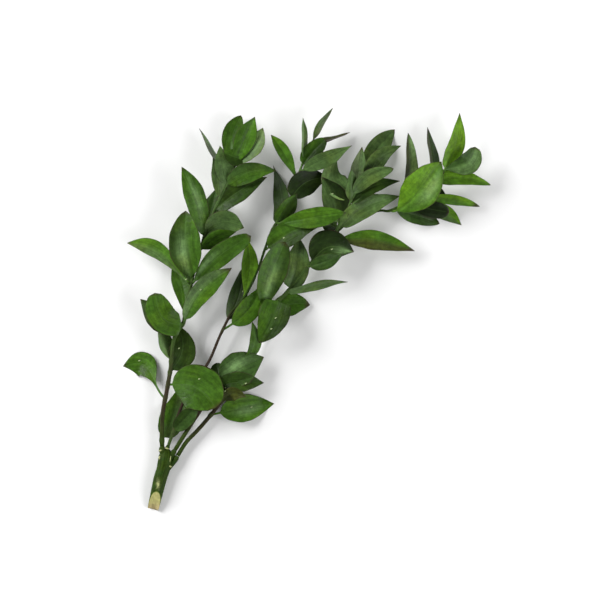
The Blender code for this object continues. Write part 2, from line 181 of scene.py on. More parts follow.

# Screen colours of the living plant, from 0 to 255. Some of them are painted light and shade: pale is a
# painted sheen, and deepest is mostly painted shade, for leaves and halves that lay in shade
PALETTE = {
    "deepest": (22, 37, 8),
    "dark": (38, 60, 16),
    "olive": (56, 64, 24),
    "mid": (54, 87, 21),
    "bright": (64, 102, 24),
    "fresh": (88, 130, 28),
    "dull": (52, 78, 32),
    "soft": (76, 103, 54),
    "pale": (108, 140, 86),
    "brown": (62, 52, 32),
    "underside": (84, 98, 66),
    "dry": (56, 42, 32),
    "bark": (44, 62, 14),
    "green_stem": (60, 82, 36),
    "brown_stem": (52, 42, 32),
    "cut": (178, 174, 112),
    "cut_low": (184, 164, 122),
    "cut_rim": (84, 104, 36),
    "torn": (176, 180, 124),
    "bud": (168, 184, 132),
}


class Leaf(NamedTuple):
    """One leaf. Lengths are in millimetres and angles in degrees.

    left and right are the tones of its halves, on the way from its root to its tip, and they hold
    painted light and shade as well as the leaf's own green: a half is lighter or darker as it faced
    the lamps or lay in shade. root is the x, y where it leaves the stem, and tip is its point. A
    positive roll lifts the left edge, and twist is more of it at the root than at the tip. arch lifts
    the middle of the midrib, bow moves it to the left, lift raises the blade's base above the stem, and
    fold lifts both edges above the midrib. base and fullness are the outline's exponents towards the
    root and the tip, and are smaller where it is rounder. widest, stalk and bend are shares of the
    length: where the blade is widest, where it begins, and where the bow is greatest. brown is the
    share at the point that is dry. The last field is the place along and across the blade of a pale
    patch of painted sheen, a highlight painted into the colour.
    """

    left: str
    right: str
    root: tuple
    tip: tuple
    width: float
    roll: float = 0.0
    arch: float = 4.0
    bow: float = 0.0
    fold: float = 12.0
    widest: float = 0.42
    base: float = 0.75
    fullness: float = 1.0
    stalk: float = 0.07
    bend: float = 0.5
    lift: float = 0.0
    twist: float = 0.0
    brown: float = 0.04
    painted_sheen: tuple = ()


class Branch(NamedTuple):
    """A leafy branch: its node's name, its stem and its leaves.

    route and radii are the stem's axis and its end radii, from the cane to its last leaf. tones are
    evenly spaced along it, and collar_from is the point inside the cane that its collar grows from.
    """

    name: str
    route: tuple
    radii: tuple
    tones: tuple
    collar_from: tuple
    leaves: tuple


LEFT_BRANCH = Branch(
    name="left_leafy_branch",
    route=(
        (-145, -137, 10),
        (-145.3, -123, 11.5),
        (-144, -102, 14),
        (-140, -81, 16),
        (-136.5, -60, 18),
        (-134.5, -38, 19.5),
        (-131, -25, 20.5),
        (-123.5, -14, 21),
        (-120.5, 3, 22),
        (-115.5, 26, 22.5),
        (-111, 45, 23.5),
        (-104, 68, 24),
        (-96, 90, 24),
        (-88, 109, 24),
        (-79, 127, 23),
        (-73, 142, 22),
        (-66, 147, 22),
        (-58, 150, 22),
    ),
    radii=(2.3, 1.0),
    tones=("bark", "brown_stem", "green_stem", "green_stem", "green_stem", "soft", "soft"),
    collar_from=(-142, -152, 8),
    leaves=(
        Leaf(
            "bright", "soft", (-145, -131), (-130, -81, 3), 26,
            roll=4, arch=-1, bow=-3.5, base=0.45, lift=-4,
        ),
        Leaf(
            "mid", "bright", (-144, -89), (-184.5, -57.5, -3), 26,
            roll=-3, arch=-1, bow=-13.5, bend=0.67, fold=4, widest=0.64, base=1.4, stalk=0.2,
        ),
        Leaf(
            "mid", "mid", (-140, -76), (-91, -99, 26), 47,
            arch=2, bow=10, fold=3, widest=0.5, base=0.55, fullness=0.5,
        ),
        Leaf("dark", "dark", (-136, -64), (-129, -16, 12), 27, roll=4, arch=1, bow=-8.5, fold=5, base=0.7),
        Leaf("pale", "dull", (-137, -53), (-149, -16, 12), 20, roll=45, arch=0),
        Leaf("dark", "dark", (-131, -26), (-167, 10, 8), 24, roll=-15, arch=0),
        Leaf(
            "mid", "mid", (-123, -16), (-152, 16, 30), 28.5,
            arch=3, bow=10.3, bend=0.42, fold=5, widest=0.5, base=0.15, fullness=0.42, stalk=0.02, lift=4,
        ),
        Leaf("mid", "mid", (-122, -8), (-134, 47, 10), 20, roll=-8, arch=-1, bow=-4.5, widest=0.6, base=0.5),
        Leaf(
            "soft", "bright", (-123, -13), (-75, 41, 27), 22,
            roll=20, arch=2, bow=7.5, widest=0.55, base=0.35, stalk=0.04, lift=3, brown=0.08,
        ),
        Leaf(
            "soft", "bright", (-117, 25), (-180, 66, 20), 17.5,
            roll=20, arch=-1, bow=-10.2, bend=0.6, widest=0.64, base=0.9, lift=4, twist=-30,
        ),
        Leaf(
            "dark", "mid", (-115, 28), (-121, 98, 34), 33,
            roll=-12, arch=4, bow=3, widest=0.48, base=0.6, fullness=0.7, painted_sheen=(0.36, 0.22),
        ),
        Leaf(
            "mid", "mid", (-113, 23), (-56, 73, 37), 21.5,
            roll=10, arch=3, bow=4.5, widest=0.5, base=0.8, fullness=0.4, painted_sheen=(0.2, 0.4),
        ),
        Leaf("bright", "mid", (-107, 59), (-71, 77, 24), 18, roll=30, arch=2, bow=4),
        Leaf("soft", "soft", (-103, 72), (-63, 81, 20), 30, roll=18, arch=0, bow=9, widest=0.5, base=0.5),
        Leaf(
            "bright", "mid", (-105, 72), (-125, 142, 32), 22.5,
            roll=20, arch=2, bow=-3, widest=0.55, base=0.4, stalk=0.03, painted_sheen=(0.5, -0.15),
        ),
        Leaf("dark", "dull", (-102, 76), (-91, 121, -2), 22, roll=-20, arch=0),
        Leaf(
            "dark", "dark", (-92, 98), (-40, 132, 20), 22,
            roll=-15, arch=2, bow=3, base=0.35, stalk=0.04,
        ),
        Leaf(
            "dull", "mid", (-80, 124), (-31, 138, 33), 21,
            roll=12, arch=2, bow=6, base=0.6, stalk=0.03,
        ),
        Leaf("soft", "soft", (-88, 111), (-94, 151, 30), 20, roll=40, arch=2, bow=-2),
        Leaf("soft", "soft", (-82, 124), (-87, 163, 26), 21, roll=25, arch=2),
        Leaf("underside", "pale", (-82, 128), (-108, 181, 14), 16, roll=70, arch=0, fold=8, brown=0.1),
        Leaf(
            "mid", "mid", (-75, 141), (-66, 194, 8), 20,
            roll=-8, arch=2, bow=6, widest=0.58, fullness=0.75,
        ),
        Leaf(
            "mid", "bright", (-74, 141), (-52, 192, 30), 21,
            roll=4, arch=2, bow=0.5, widest=0.55, fullness=1.1,
        ),
        Leaf("dark", "mid", (-60, 150), (-84, 158, 27), 18, roll=15, arch=2, bow=2, base=0.6),
        Leaf(
            "pale", "soft", (-71, 143), (-44, 181, 27), 18,
            roll=-20, arch=2, bow=-4.5, widest=0.6, base=0.45,
        ),
    ),
)

MIDDLE_BRANCH = Branch(
    name="middle_leafy_branch",
    route=(
        (-138.5, -136, 9),
        (-134, -123, 10),
        (-128, -104, 11),
        (-117, -79, 12),
        (-99, -54, 13),
        (-88, -29, 15),
        (-80, -12, 16),
        (-76, -4, 16.5),
        (-62, 13, 17.5),
        (-50, 37, 19),
        (-43, 57, 20),
        (-35, 79, 22),
        (-23, 97, 23),
        (-12, 121, 24),
        (-6, 141, 24),
        (2, 161, 24),
        (6, 168, 24),
    ),
    radii=(1.6, 0.95),
    tones=(
        "green_stem", "brown_stem", "brown_stem", "brown_stem", "dark", "dark", "green_stem", "soft", "soft",
    ),
    collar_from=(-141, -151, 8),
    leaves=(
        Leaf("dark", "dull", (-133, -124), (-107, -94, 20), 17, roll=8, arch=1, base=0.55),
        Leaf(
            "dark", "deepest", (-85, -20), (-64, 41, 6), 20,
            roll=-25, arch=0, bow=-5, bend=0.55, fullness=0.6, stalk=0.18,
        ),
        Leaf("bright", "bright", (-82, -22), (-45, 24, 18), 23, roll=12, arch=1, bow=-6, stalk=0.18),
        Leaf("fresh", "fresh", (-64, 11), (-59, 69, 20), 17, roll=8, arch=0, bow=-3.5, widest=0.52),
        Leaf(
            "mid", "dark", (-41, 59), (17, 83, 31), 26,
            roll=-4, arch=0, bow=7, bend=0.55, base=0.5, fullness=1.4,
        ),
        Leaf(
            "dark", "dark", (-34, 80), (-34, 144, -2), 17,
            roll=-22, arch=0, bow=-9, bend=0.4, base=0.4, fullness=1.35,
        ),
        Leaf("mid", "dark", (-29, 85), (-10, 115, 32), 19, roll=25, arch=2, base=0.5),
        Leaf("bright", "mid", (-30, 85), (39, 96, 40), 22, roll=16, arch=6, bow=0.5, widest=0.55, base=0.7),
        Leaf("deepest", "deepest", (-17, 108), (22, 132, 14), 26, arch=1, bow=7, base=0.5, lift=6),
        Leaf("mid", "bright", (-11, 129), (-36, 174, 26), 13, roll=12, arch=0, bow=-2.5, widest=0.6),
        Leaf("soft", "soft", (-6, 138), (45, 163, 36), 18, roll=25, arch=3, bow=0, fullness=1.25),
        Leaf("mid", "dark", (-4, 142), (19, 170, 27), 18, arch=1, bow=1.5, base=0.5, fullness=0.5),
        Leaf("pale", "soft", (-3, 148), (-4, 191, 28), 15, roll=62, arch=1, bow=-0.5, fold=8),
        Leaf("soft", "underside", (6, 167), (26, 201, 26), 14, roll=60, arch=1, bow=2.5, fold=8),
        Leaf("olive", "brown", (5, 165), (43, 177, 8), 9, roll=-55, arch=0, bow=-1, fold=8, brown=0.12),
    ),
)

RIGHT_BRANCH = Branch(
    name="right_leafy_branch",
    route=(
        (-132, -141, 8.5),
        (-117, -117, 9.5),
        (-107, -102, 10.5),
        (-85, -69, 12),
        (-72, -57, 13),
        (-61, -47, 14.5),
        (-54, -39, 16),
        (-47.5, -29, 17),
        (-43.5, -15, 18.5),
        (-40, -4, 19.5),
        (-32, 6, 20.5),
        (-20, 17, 22),
        (-5, 35, 23),
        (19, 65, 24),
        (28, 76, 25),
        (40, 100, 25),
        (50, 119, 25),
        (62, 131, 25),
    ),
    radii=(2.1, 1.1),
    tones=("bark", "brown_stem", "brown_stem", "brown_stem", "green_stem", "green_stem", "soft", "soft"),
    collar_from=(-140, -154, 7.5),
    leaves=(
        Leaf(
            "dark", "dark", (-92, -80), (-43, -74, 16), 21,
            arch=3, bow=3.5, bend=0.4, base=0.45, lift=5,
        ),
        Leaf(
            "dull", "dull", (-88, -72), (-43, -48, 18), 35,
            roll=8, arch=3, bow=2, fold=8, base=0.6, lift=5, painted_sheen=(0.4, 0.3),
        ),
        Leaf("mid", "mid", (-66, -51), (-55, -12, 28), 18, roll=50, arch=4, bow=-9, bend=0.4, fold=8),
        Leaf(
            "mid", "dark", (-40, -4), (-22, 67, 34), 28.5,
            roll=15, arch=6, bow=6, bend=0.35, widest=0.55, base=0.6, fullness=0.5, painted_sheen=(0.35, -0.1),
        ),
        Leaf(
            "dark", "mid", (-28, 9), (-48, -34, 24), 31,
            arch=4, bow=2.5, widest=0.32, base=0.25, fullness=0.8, stalk=0.03, lift=5,
        ),
        Leaf(
            "soft", "soft", (-20, 17), (41, 27, 18), 12.5,
            roll=50, arch=1, bow=2.4, bend=0.65, fold=8, widest=0.5, base=0.15, stalk=0.02,
        ),
        Leaf(
            "soft", "soft", (-18, 19), (-8, 72, 18), 26,
            roll=8, arch=0, bow=-3, base=0.4, stalk=0.03,
        ),
        Leaf(
            "deepest", "dark", (3, 43), (47, 57, 24), 36,
            arch=3, bow=11.5, fold=4, base=0.9, lift=6, painted_sheen=(0.88, -0.3),
        ),
        Leaf("dull", "dull", (1, 41), (36, 55, 32), 16, roll=12, arch=3, bow=-1, lift=6),
        Leaf(
            "bright", "olive", (20, 66), (108, 58, 14), 20,
            roll=14, arch=3, bow=7.5, bend=0.47, base=1.15, stalk=0.14, brown=0.1,
        ),
        Leaf("soft", "soft", (30, 79), (93, 113, 11), 21, roll=-2, arch=5, bow=6.5, base=0.45),
        Leaf("soft", "deepest", (32, 84), (15, 132, 28), 29, roll=20, arch=0, bow=-3, fold=24, base=0.5),
        Leaf("pale", "soft", (43, 107), (30, 152, 16), 27, roll=20, arch=0, bow=11, bend=0.6, base=0.6),
        Leaf("soft", "soft", (43, 107), (44, 140, 35), 16, roll=40, arch=1),
        Leaf("underside", "soft", (50, 118), (55, 162, 28), 16, roll=-12, arch=0, brown=0.08),
        Leaf(
            "soft", "soft", (53, 123), (88, 180, -2), 22,
            roll=10, arch=2, bow=5, widest=0.55, fullness=0.8,
        ),
        Leaf("soft", "soft", (58, 128), (94, 163, 28), 21, roll=35, arch=1, bow=8, base=0.6),
        Leaf(
            "soft", "soft", (46, 112), (86.5, 140, 34), 17,
            roll=25, arch=1, bow=7.5, bend=0.45, base=0.6, fullness=0.6,
        ),
        Leaf("dark", "dark", (43, 106), (93, 128, 17), 15, roll=-15, arch=0, bow=6, base=0.2, stalk=0.03),
        Leaf("dark", "dark", (-86, -70), (-91, -54, 7), 15, roll=-8, arch=-1, widest=0.55, fullness=0.6),
        Leaf("deepest", "dark", (31, 81), (14, 88, 18), 16, arch=0, base=0.5),
    ),
)

FAR_RIGHT_BRANCH = Branch(
    name="far_right_leafy_branch",
    route=(
        (-129.5, -147, 7.5),
        (-120.5, -133, 7.5),
        (-109, -121, 7.5),
        (-94, -103.5, 8),
        (-87, -94, 8),
        (-78, -84, 8),
        (-64, -68, 8),
        (-56, -50, 8),
        (-51, -38, 8),
        (-45.5, -26, 8),
        (-42, -13, 8),
        (-38, -4, 8),
        (-30, 6, 8),
        (-19, 17, 8),
        (-4, 35, 8),
        (10, 53, 8.5),
        (21, 67, 9),
        (31, 78, 9.5),
        (40, 86, 10),
        (50, 91.5, 11),
        (62, 96.5, 12.5),
        (74, 98.5, 14.5),
        (85, 99, 16),
        (111, 113, 20),
        (133, 133, 22),
        (137, 139, 22),
    ),
    radii=(2.1, 1.1),
    tones=(
        "bark", "brown_stem", "brown_stem", "green_stem", "green_stem", "green_stem", "dark", "green_stem",
    ),
    collar_from=(-141, -162, 7.5),
    leaves=(
        Leaf(
            "bright", "bright", (-96, -106), (-33, -95, -4), 28,
            roll=-4, arch=4, bow=1, stalk=0.15, painted_sheen=(0.5, -0.2),
        ),
        Leaf("olive", "olive", (-85, -93), (-61, -88, 20), 15, roll=20, arch=8, bow=5.5, base=0.6),
        Leaf(
            "mid", "mid", (-40, -9), (3, 4, 4), 23,
            roll=-8, arch=1, bow=6, bend=0.55, widest=0.52, base=0.5, fullness=0.85, brown=0.1,
        ),
        Leaf(
            "fresh", "bright", (84, 97), (134, 147, 34), 38,
            roll=10, arch=6, bow=-6.5, bend=0.28, widest=0.5, base=0.85, fullness=0.85, painted_sheen=(0.6, -0.45),
        ),
        Leaf(
            "olive", "pale", (88, 101), (101, 176, 24), 21,
            roll=50, arch=1, bow=-9, bend=0.38, widest=0.5, fullness=0.8,
        ),
        Leaf("olive", "dull", (129, 129), (120.5, 182, 14), 19, roll=58, arch=0, brown=0.1),
        Leaf(
            "fresh", "fresh", (136, 137), (152.5, 196, 26), 19,
            roll=25, arch=1, bow=-4.5, widest=0.38, base=0.5,
        ),
        Leaf(
            "dull", "soft", (137, 139), (168, 162, 28), 22,
            roll=12, arch=3, bow=-8.5, bend=0.6, widest=0.6, base=0.6, fullness=0.5, painted_sheen=(0.76, -0.2),
        ),
        Leaf(
            "fresh", "bright", (130, 130), (184, 124, 14), 16,
            roll=-14, arch=2, bow=3.5, widest=0.32, base=0.3, fullness=0.8, stalk=0.03,
        ),
        Leaf(
            "fresh", "bright", (109, 111), (173, 102.5, 9), 11,
            roll=25, arch=1, bow=3.5, bend=0.6, widest=0.55, fullness=0.8, brown=0.12,
        ),
        Leaf("fresh", "soft", (98, 105), (155, 84, -3), 17, roll=30, arch=0, bow=8, widest=0.6),
        Leaf("dark", "dull", (88, 99), (133, 85.5, -2), 18, roll=-8, arch=0, bow=1, fullness=0.7),
        Leaf(
            "deepest", "deepest", (100, 106), (142.5, 97, 12), 17,
            roll=10, arch=0, bow=-1, widest=0.6, base=0.5, fullness=0.4,
        ),
        Leaf("deepest", "deepest", (121, 120), (139, 114, 16), 11, roll=20, arch=0),
    ),
)

BRANCHES = (LEFT_BRANCH, MIDDLE_BRANCH, RIGHT_BRANCH, FAR_RIGHT_BRANCH)


def linear(color):
    """A screen colour as a linear one."""
    shares = [value / 255 for value in color]
    return Vector([s / 12.92 if s <= 0.04045 else ((s + 0.055) / 1.055) ** 2.4 for s in shares])


TONES = {name: linear(color) for name, color in PALETTE.items()}


def smooth_step(low, high, value):
    """0 below low, 1 above high, and a smooth rise between them."""
    share = min(1.0, max(0.0, (value - low) / (high - low)))
    return share * share * (3 - 2 * share)


def bell(value, reach):
    """1 at a value of 0, and near 0 beyond the reach on both sides."""
    return math.exp(-((value / reach) ** 2))


def hump(share, peak):
    """A smooth hump over 0 to 1 that is 1 at its peak and 0 at both ends."""
    skew = math.log(0.5) / math.log(peak)
    return max(0.0, math.sin(math.pi * share**skew))


def smooth_route(points, steps):
    """Points along a smooth curve through the given ones, with this many steps to each span."""
    knots = [Vector(p) for p in points]
    ends = [2 * knots[0] - knots[1]] + knots + [2 * knots[-1] - knots[-2]]
    curve = []
    for before, here, after, beyond in zip(ends, ends[1:], ends[2:], ends[3:]):
        for step in range(steps):
            t = step / steps
            curve.append(
                0.5
                * (
                    2 * here
                    + (after - before) * t
                    + (2 * before - 5 * here + 4 * after - beyond) * t**2
                    + (3 * here - before - 3 * after + beyond) * t**3
                )
            )
    curve.append(knots[-1])
    return curve


def direction_at(points, index):
    """The unit direction of a row of points at one of them."""
    before = points[max(index - 1, 0)]
    after = points[min(index + 1, len(points) - 1)]
    return (after - before).normalized()


def nearest(points, spot):
    """The one of the points that is nearest to a spot in plan."""
    return min(points, key=lambda p: (p.x - spot[0]) ** 2 + (p.y - spot[1]) ** 2)


class Surface:
    """Points and faces in millimetres, with two places and a tone for each corner of each face.

    The first place is a share across or around and a share along. The second is both as lengths.
    """

    def __init__(self):
        self.points = []
        self.faces = []
        self.places = []
        self.lengths = []
        self.tones = []
        self.slots = []

    def add_point(self, point):
        """Keep a point, and return its index."""
        self.points.append(point)
        return len(self.points) - 1

    def add_face(self, corners, slot=0):
        """Keep a face from its corners, each an index, a place, its lengths and a tone."""
        self.faces.append([corner[0] for corner in corners])
        self.places += [corner[1] for corner in corners]
        self.lengths += [corner[2] for corner in corners]
        self.tones += [corner[3] for corner in corners]
        self.slots.append(slot)

    def add_rows(self, rows, closed, slot=0):
        """Join rows of corners by four-sided faces. A closed row also joins its end to its start."""
        for near, far in zip(rows, rows[1:]):
            count = len(near)
            for index in range(count if closed else count - 1):
                after = (index + 1) % count
                self.add_face((near[index], near[after], far[after], far[index]), slot)

    def build(self, name, materials):
        """A smooth shaded object of these faces."""
        mesh = bpy.data.meshes.new(name)
        mesh.from_pydata([MM * point for point in self.points], [], self.faces)
        for layer_name, pairs in (("place", self.places), ("lengths", self.lengths)):
            layer = mesh.uv_layers.new(name=layer_name)
            layer.data.foreach_set("uv", [number for pair in pairs for number in pair])
        tone = mesh.color_attributes.new("tone", "FLOAT_COLOR", "CORNER")
        tone.data.foreach_set("color", [number for color in self.tones for number in (*color, 1.0)])
        for material in materials:
            mesh.materials.append(material)
        mesh.polygons.foreach_set("material_index", self.slots)
        mesh.validate()
        mesh.shade_smooth()
        item = bpy.data.objects.new(name, mesh)
        bpy.context.scene.collection.objects.link(item)
        return item


def half_width(leaf, share):
    """Half the blade's width at a share of its length from its stalk to its point."""
    power = leaf.base if share < leaf.widest else leaf.fullness
    blade = leaf.width / 2 * hump(share, leaf.widest) ** power
    stalk = PETIOLE_WIDTH / 2 * (1 - share)
    return math.hypot(blade, stalk) + POINT_WIDTH / 2 * share


def spine_point(leaf, root, place):
    """The midrib's point at a place from 0, its root on the stem's axis, to 1, its point."""
    span = Vector(leaf.tip) - root
    left = UP.cross(span).normalized()
    sideways = leaf.bow * hump(place, leaf.bend)
    upwards = leaf.arch * hump(place, 0.5) + leaf.lift * (1 - place) * min(1.0, place / leaf.stalk)
    return root + place * span + sideways * left + upwards * UP


def leaf_tone(leaf, share, across, shade):
    """The colour of the leaf's upper side at a place along and across its blade, with the painted light and
    shade of its two halves and its patch of painted sheen.
    """
    # Each half's tone is partly painted light and shade: lighter where the half faced the lamps, darker
    # where it lay in shade
    tone = TONES[leaf.right].lerp(TONES[leaf.left], smooth_step(-HALVES_BLEND, HALVES_BLEND, across))
    tone = tone.lerp(TONES["soft"], STALK_STRENGTH * bell(share, STALK_REACH))
    # A pale patch of painted sheen, a highlight painted into the leaf's colour
    if leaf.painted_sheen:
        along, aside = leaf.painted_sheen
        patch = bell(share - along, PAINTED_SHEEN_LENGTH) * bell(across - aside, PAINTED_SHEEN_WIDTH)
        tone = tone.lerp(TONES["pale"], PAINTED_SHEEN_STRENGTH * patch)
    dry_from, dry_to = (1 - times * leaf.brown for times in DRY_SPAN)
    dry = smooth_step(dry_from, dry_to, share)
    return (shade * tone).lerp(TONES["dry"], DRY_STRENGTH * dry)


def add_leaf(surface, leaf, root, draws):
    """Add one leaf: a thin closed blade with a groove over its midrib, a keel under it and a wavy rim."""
    stations = [(leaf.stalk * step / PETIOLE_STEPS, 0.0) for step in range(PETIOLE_STEPS)]
    for step in range(BLADE_STEPS + 1):
        share = step / BLADE_STEPS
        stations.append((leaf.stalk + (1 - leaf.stalk) * share, share))
    spine = [spine_point(leaf, root, place) for place, share in stations]
    fold = math.tan(math.radians(leaf.fold))
    waves = {side: (draws.uniform(*WAVE_COUNTS), draws.uniform(0, 1)) for side in (1, -1)}
    shade = draws.uniform(*SHADES)
    steep = draws.uniform(0, 1)
    offset = draws.uniform(0, 1)
    reach = (Vector(leaf.tip) - root).length
    upper = []
    lower = []
    for index, (point, (place, share)) in enumerate(zip(spine, stations)):
        forward = direction_at(spine, index)
        turn = Matrix.Rotation(math.radians(leaf.roll + leaf.twist * (1 - place)), 3, forward)
        left = turn @ UP.cross(forward).normalized()
        normal = turn @ forward.cross(UP.cross(forward).normalized())
        half = half_width(leaf, share)
        stalk = 1 - smooth_step(0.0, STALK_REACH, share)
        thick = BLADE_THICKNESS + (PETIOLE_THICKNESS - BLADE_THICKNESS) * stalk
        over_row = []
        under_row = []
        for across in ACROSS:
            aside = abs(across)
            count, start = waves[1 if across > 0 else -1]
            sway = math.sin(math.tau * (count * share + start))
            wave = WAVE_HEIGHT * sway * aside**2 * hump(share, 0.5)
            straight = STEEP_RISE * aside - STEEP_LEVELLING * aside**2
            gutter = (1 - steep) * aside**2 + steep * straight
            rise = half * fold * gutter + wave
            unevenness = noise.noise(Vector((RAGGED_COUNT * share, RAGGED_SPREAD * offset, start)))
            reach_aside = half * across * (1 + RAGGED_SHARE * unevenness)
            middle = point + reach_aside * left + rise * normal
            swell = thick / 2 * math.sqrt(1 - across**2)
            rib = bell(across * half, MIDRIB_WIDTH) * (1 - stalk)
            over = middle + (swell - GROOVE_DEPTH * rib) * normal
            under = middle - (swell + KEEL_DEPTH * rib * (1 - share)) * normal
            lift = max(0.0, -min(over.z, under.z)) * UP
            tone = leaf_tone(leaf, share, across, shade)
            spot = ((across + 1) / 2, place)
            lengths = (MM * half * across + offset, MM * reach * place)
            first = surface.add_point(over + lift)
            second = first if aside == 1.0 else surface.add_point(under + lift)
            over_row.append((first, spot, lengths, tone))
            under_tone = tone.lerp(TONES["underside"], UNDERSIDE_STRENGTH)
            under_row.append((second, spot, lengths, under_tone))
        upper.append(over_row)
        lower.append(list(reversed(under_row)))
    surface.add_rows(upper, closed=False)
    surface.add_rows(lower, closed=False)
    surface.add_face(list(reversed(upper[0])) + list(reversed(lower[0][1:-1])))
    surface.add_face(upper[-1] + lower[-1][1:-1])


def add_tube(surface, points, radii, tones):
    """Add a closed round stem along the points, with shallow ridges along it."""
    rows = []
    length = 0.0
    for index, (point, radius, tone) in enumerate(zip(points, radii, tones)):
        if index:
            length += (point - points[index - 1]).length
        forward = direction_at(points, index)
        side = UP.cross(forward).normalized()
        lift = forward.cross(side)
        row = []
        for corner in range(STEM_SIDES):
            angle = math.tau * (corner + 0.5) / STEM_SIDES - math.pi / 2
            reach = radius * (1 + RIDGE_SHARE * math.cos(STEM_RIDGES * angle))
            spot = point + reach * (math.cos(angle) * side + math.sin(angle) * lift)
            place = (corner / STEM_SIDES, MM * length)
            row.append((surface.add_point(spot), place, place, tone))
        rows.append(row)
    surface.add_rows(rows, closed=True)
    surface.add_face(list(reversed(rows[0])))
    surface.add_face(rows[-1])


def stem_axis(branch, steps):
    """The stem's axis, and its radius at each point."""
    axis = smooth_route(branch.route, steps)
    thick, thin = branch.radii
    last = len(axis) - 1
    return axis, [thick + (thin - thick) * index / last for index in range(len(axis))]


def make_stem(branch, roots):
    """A branch's stem, swollen a little where each leaf leaves it."""
    axis, radii = stem_axis(branch, STEM_STEPS)
    spans = len(branch.tones) - 1
    last = len(axis) - 1
    swollen = []
    tones = []
    for index, (point, radius) in enumerate(zip(axis, radii)):
        joint = max(bell((point - root).length, JOINT_REACH) for root in roots)
        swollen.append(radius * (1 + JOINT_SWELL * joint))
        span = min(spans - 1, int(spans * index / last))
        start, end = (TONES[name] for name in branch.tones[span : span + 2])
        tone = start.lerp(end, smooth_step(0.0, 1.0, spans * index / last - span))
        tones.append(tone.lerp(TONES["green_stem"], JOINT_GREEN * joint))
    surface = Surface()
    add_tube(surface, axis, swollen, tones)
    return surface.build(branch.name + "_stem", [bark_material("stem_bark")])


def make_leaves(branch, roots, draws):
    """All the leaves of a branch in one piece."""
    surface = Surface()
    for leaf, root in zip(branch.leaves, roots):
        add_leaf(surface, leaf, root, draws)
    return surface.build(branch.name + "_leaves", [leaf_material()])


def cane_axis():
    """The cane's axis and radii. Its centre is as high as lets its lowest side lie on the table."""
    knots = smooth_route([(x, y, radius) for x, y, radius in CANE], CANE_STEPS)
    return [Vector((knot.x, knot.y, knot.z)) for knot in knots], [knot.z for knot in knots]


def cane_tone(spot):
    """The bark's colour at a spot, with the pale scuff worn into it."""
    tone = TONES["bark"]
    mottle = noise.noise(spot * MOTTLE_SCALE)
    tone = tone.lerp(TONES["dark"], smooth_step(*MOTTLE_RANGE, mottle))
    x, y, length, width = SCUFF
    ragged = 1 + SCUFF_RAGGED * noise.noise(spot * SCUFF_RAGGED_SCALE)
    worn = bell((spot.y - y) * ragged, length / 2) * bell((spot.x - x) * ragged, width / 2)
    return tone.lerp(TONES["torn"], SCUFF_STRENGTH * worn * smooth_step(*SCUFF_HEIGHTS, spot.z))


def make_cane():
    """The cane with its stepped, slanting cut end, and a short collar for each branch."""
    axis, radii = cane_axis()
    surface = Surface()
    heading = direction_at(axis, 0)
    rows = []
    length = 0.0
    for index, (point, radius) in enumerate(zip(axis, radii)):
        if index:
            length += (point - axis[index - 1]).length
        forward = direction_at(axis, index)
        side = UP.cross(forward).normalized()
        lift = forward.cross(side)
        row = []
        for corner in range(CANE_SIDES):
            angle = math.tau * (corner + 0.5) / CANE_SIDES - math.pi / 2
            spot = point + radius * (math.cos(angle) * side + math.sin(angle) * lift)
            height = max(0.0, spot.z - CUT_STEP_HEIGHT) / (CANE_END_HEIGHT - CUT_STEP_HEIGHT)
            if length < CUT_REACH:
                spot += heading * CUT_LENGTH * height**CUT_CURVE * (1 - length / CUT_REACH)
            spot += BARK_BUMPS * noise.noise(spot * BARK_BUMP_SCALE) * (spot - point).normalized()
            spot.z = max(spot.z, 0.0)
            place = (corner / CANE_SIDES, MM * length)
            row.append((surface.add_point(spot), place, place, cane_tone(spot)))
        rows.append(row)
    surface.add_rows(rows, closed=True)
    surface.add_face(rows[-1])
    add_cut_face(surface, rows[0])
    for branch in BRANCHES:
        add_collar(surface, branch)
    return surface.build("cane_bark", [bark_material("cane_bark"), cut_material()])


def add_cut_face(surface, rim):
    """Close the cane's slanting end by rings of pale wood inside a green rim."""
    centre = sum((surface.points[corner[0]] for corner in rim), Vector()) / len(rim)
    lowest = surface.points[rim[0][0]].y
    rows = []
    for reach, name in CUT_RINGS:
        row = []
        for index, corner in enumerate(rim):
            spot = centre.lerp(surface.points[corner[0]], reach)
            point = corner[0] if reach == 1.0 else surface.add_point(spot)
            faded = CUT_LOW_STRENGTH * (1 - smooth_step(0.0, CUT_LENGTH / 2, spot.y - lowest))
            tone = TONES[name].lerp(TONES["cut_low"], faded)
            place = (index / len(rim), reach)
            row.append((point, place, (MM * spot.x, MM * spot.y), tone))
        rows.append(list(reversed(row)))
    surface.add_rows(rows, closed=True, slot=1)
    surface.add_face(rows[-1], 1)


def add_collar(surface, branch):
    """Add the short swollen collar that a branch leaves the cane by."""
    route, radii = stem_axis(branch, STEM_STEPS)
    along = direction_at(route, 0)
    top = route[0] - JOINT_GAP * along
    knots = (branch.collar_from, top - COLLAR_LENGTH * along, top - COLLAR_TAPER * along, top)
    points = smooth_route(knots, STEM_STEPS)
    last = len(points) - 1
    collar = []
    for index in range(len(points)):
        taper = smooth_step(COLLAR_TAPER_START, 1.0, index / last)
        collar.append(radii[0] * (COLLAR_SWELL + (1 - COLLAR_SWELL) * taper))
    tones = [cane_tone(point + radii[0] * UP) for point in points]
    add_tube(surface, points, collar, tones)


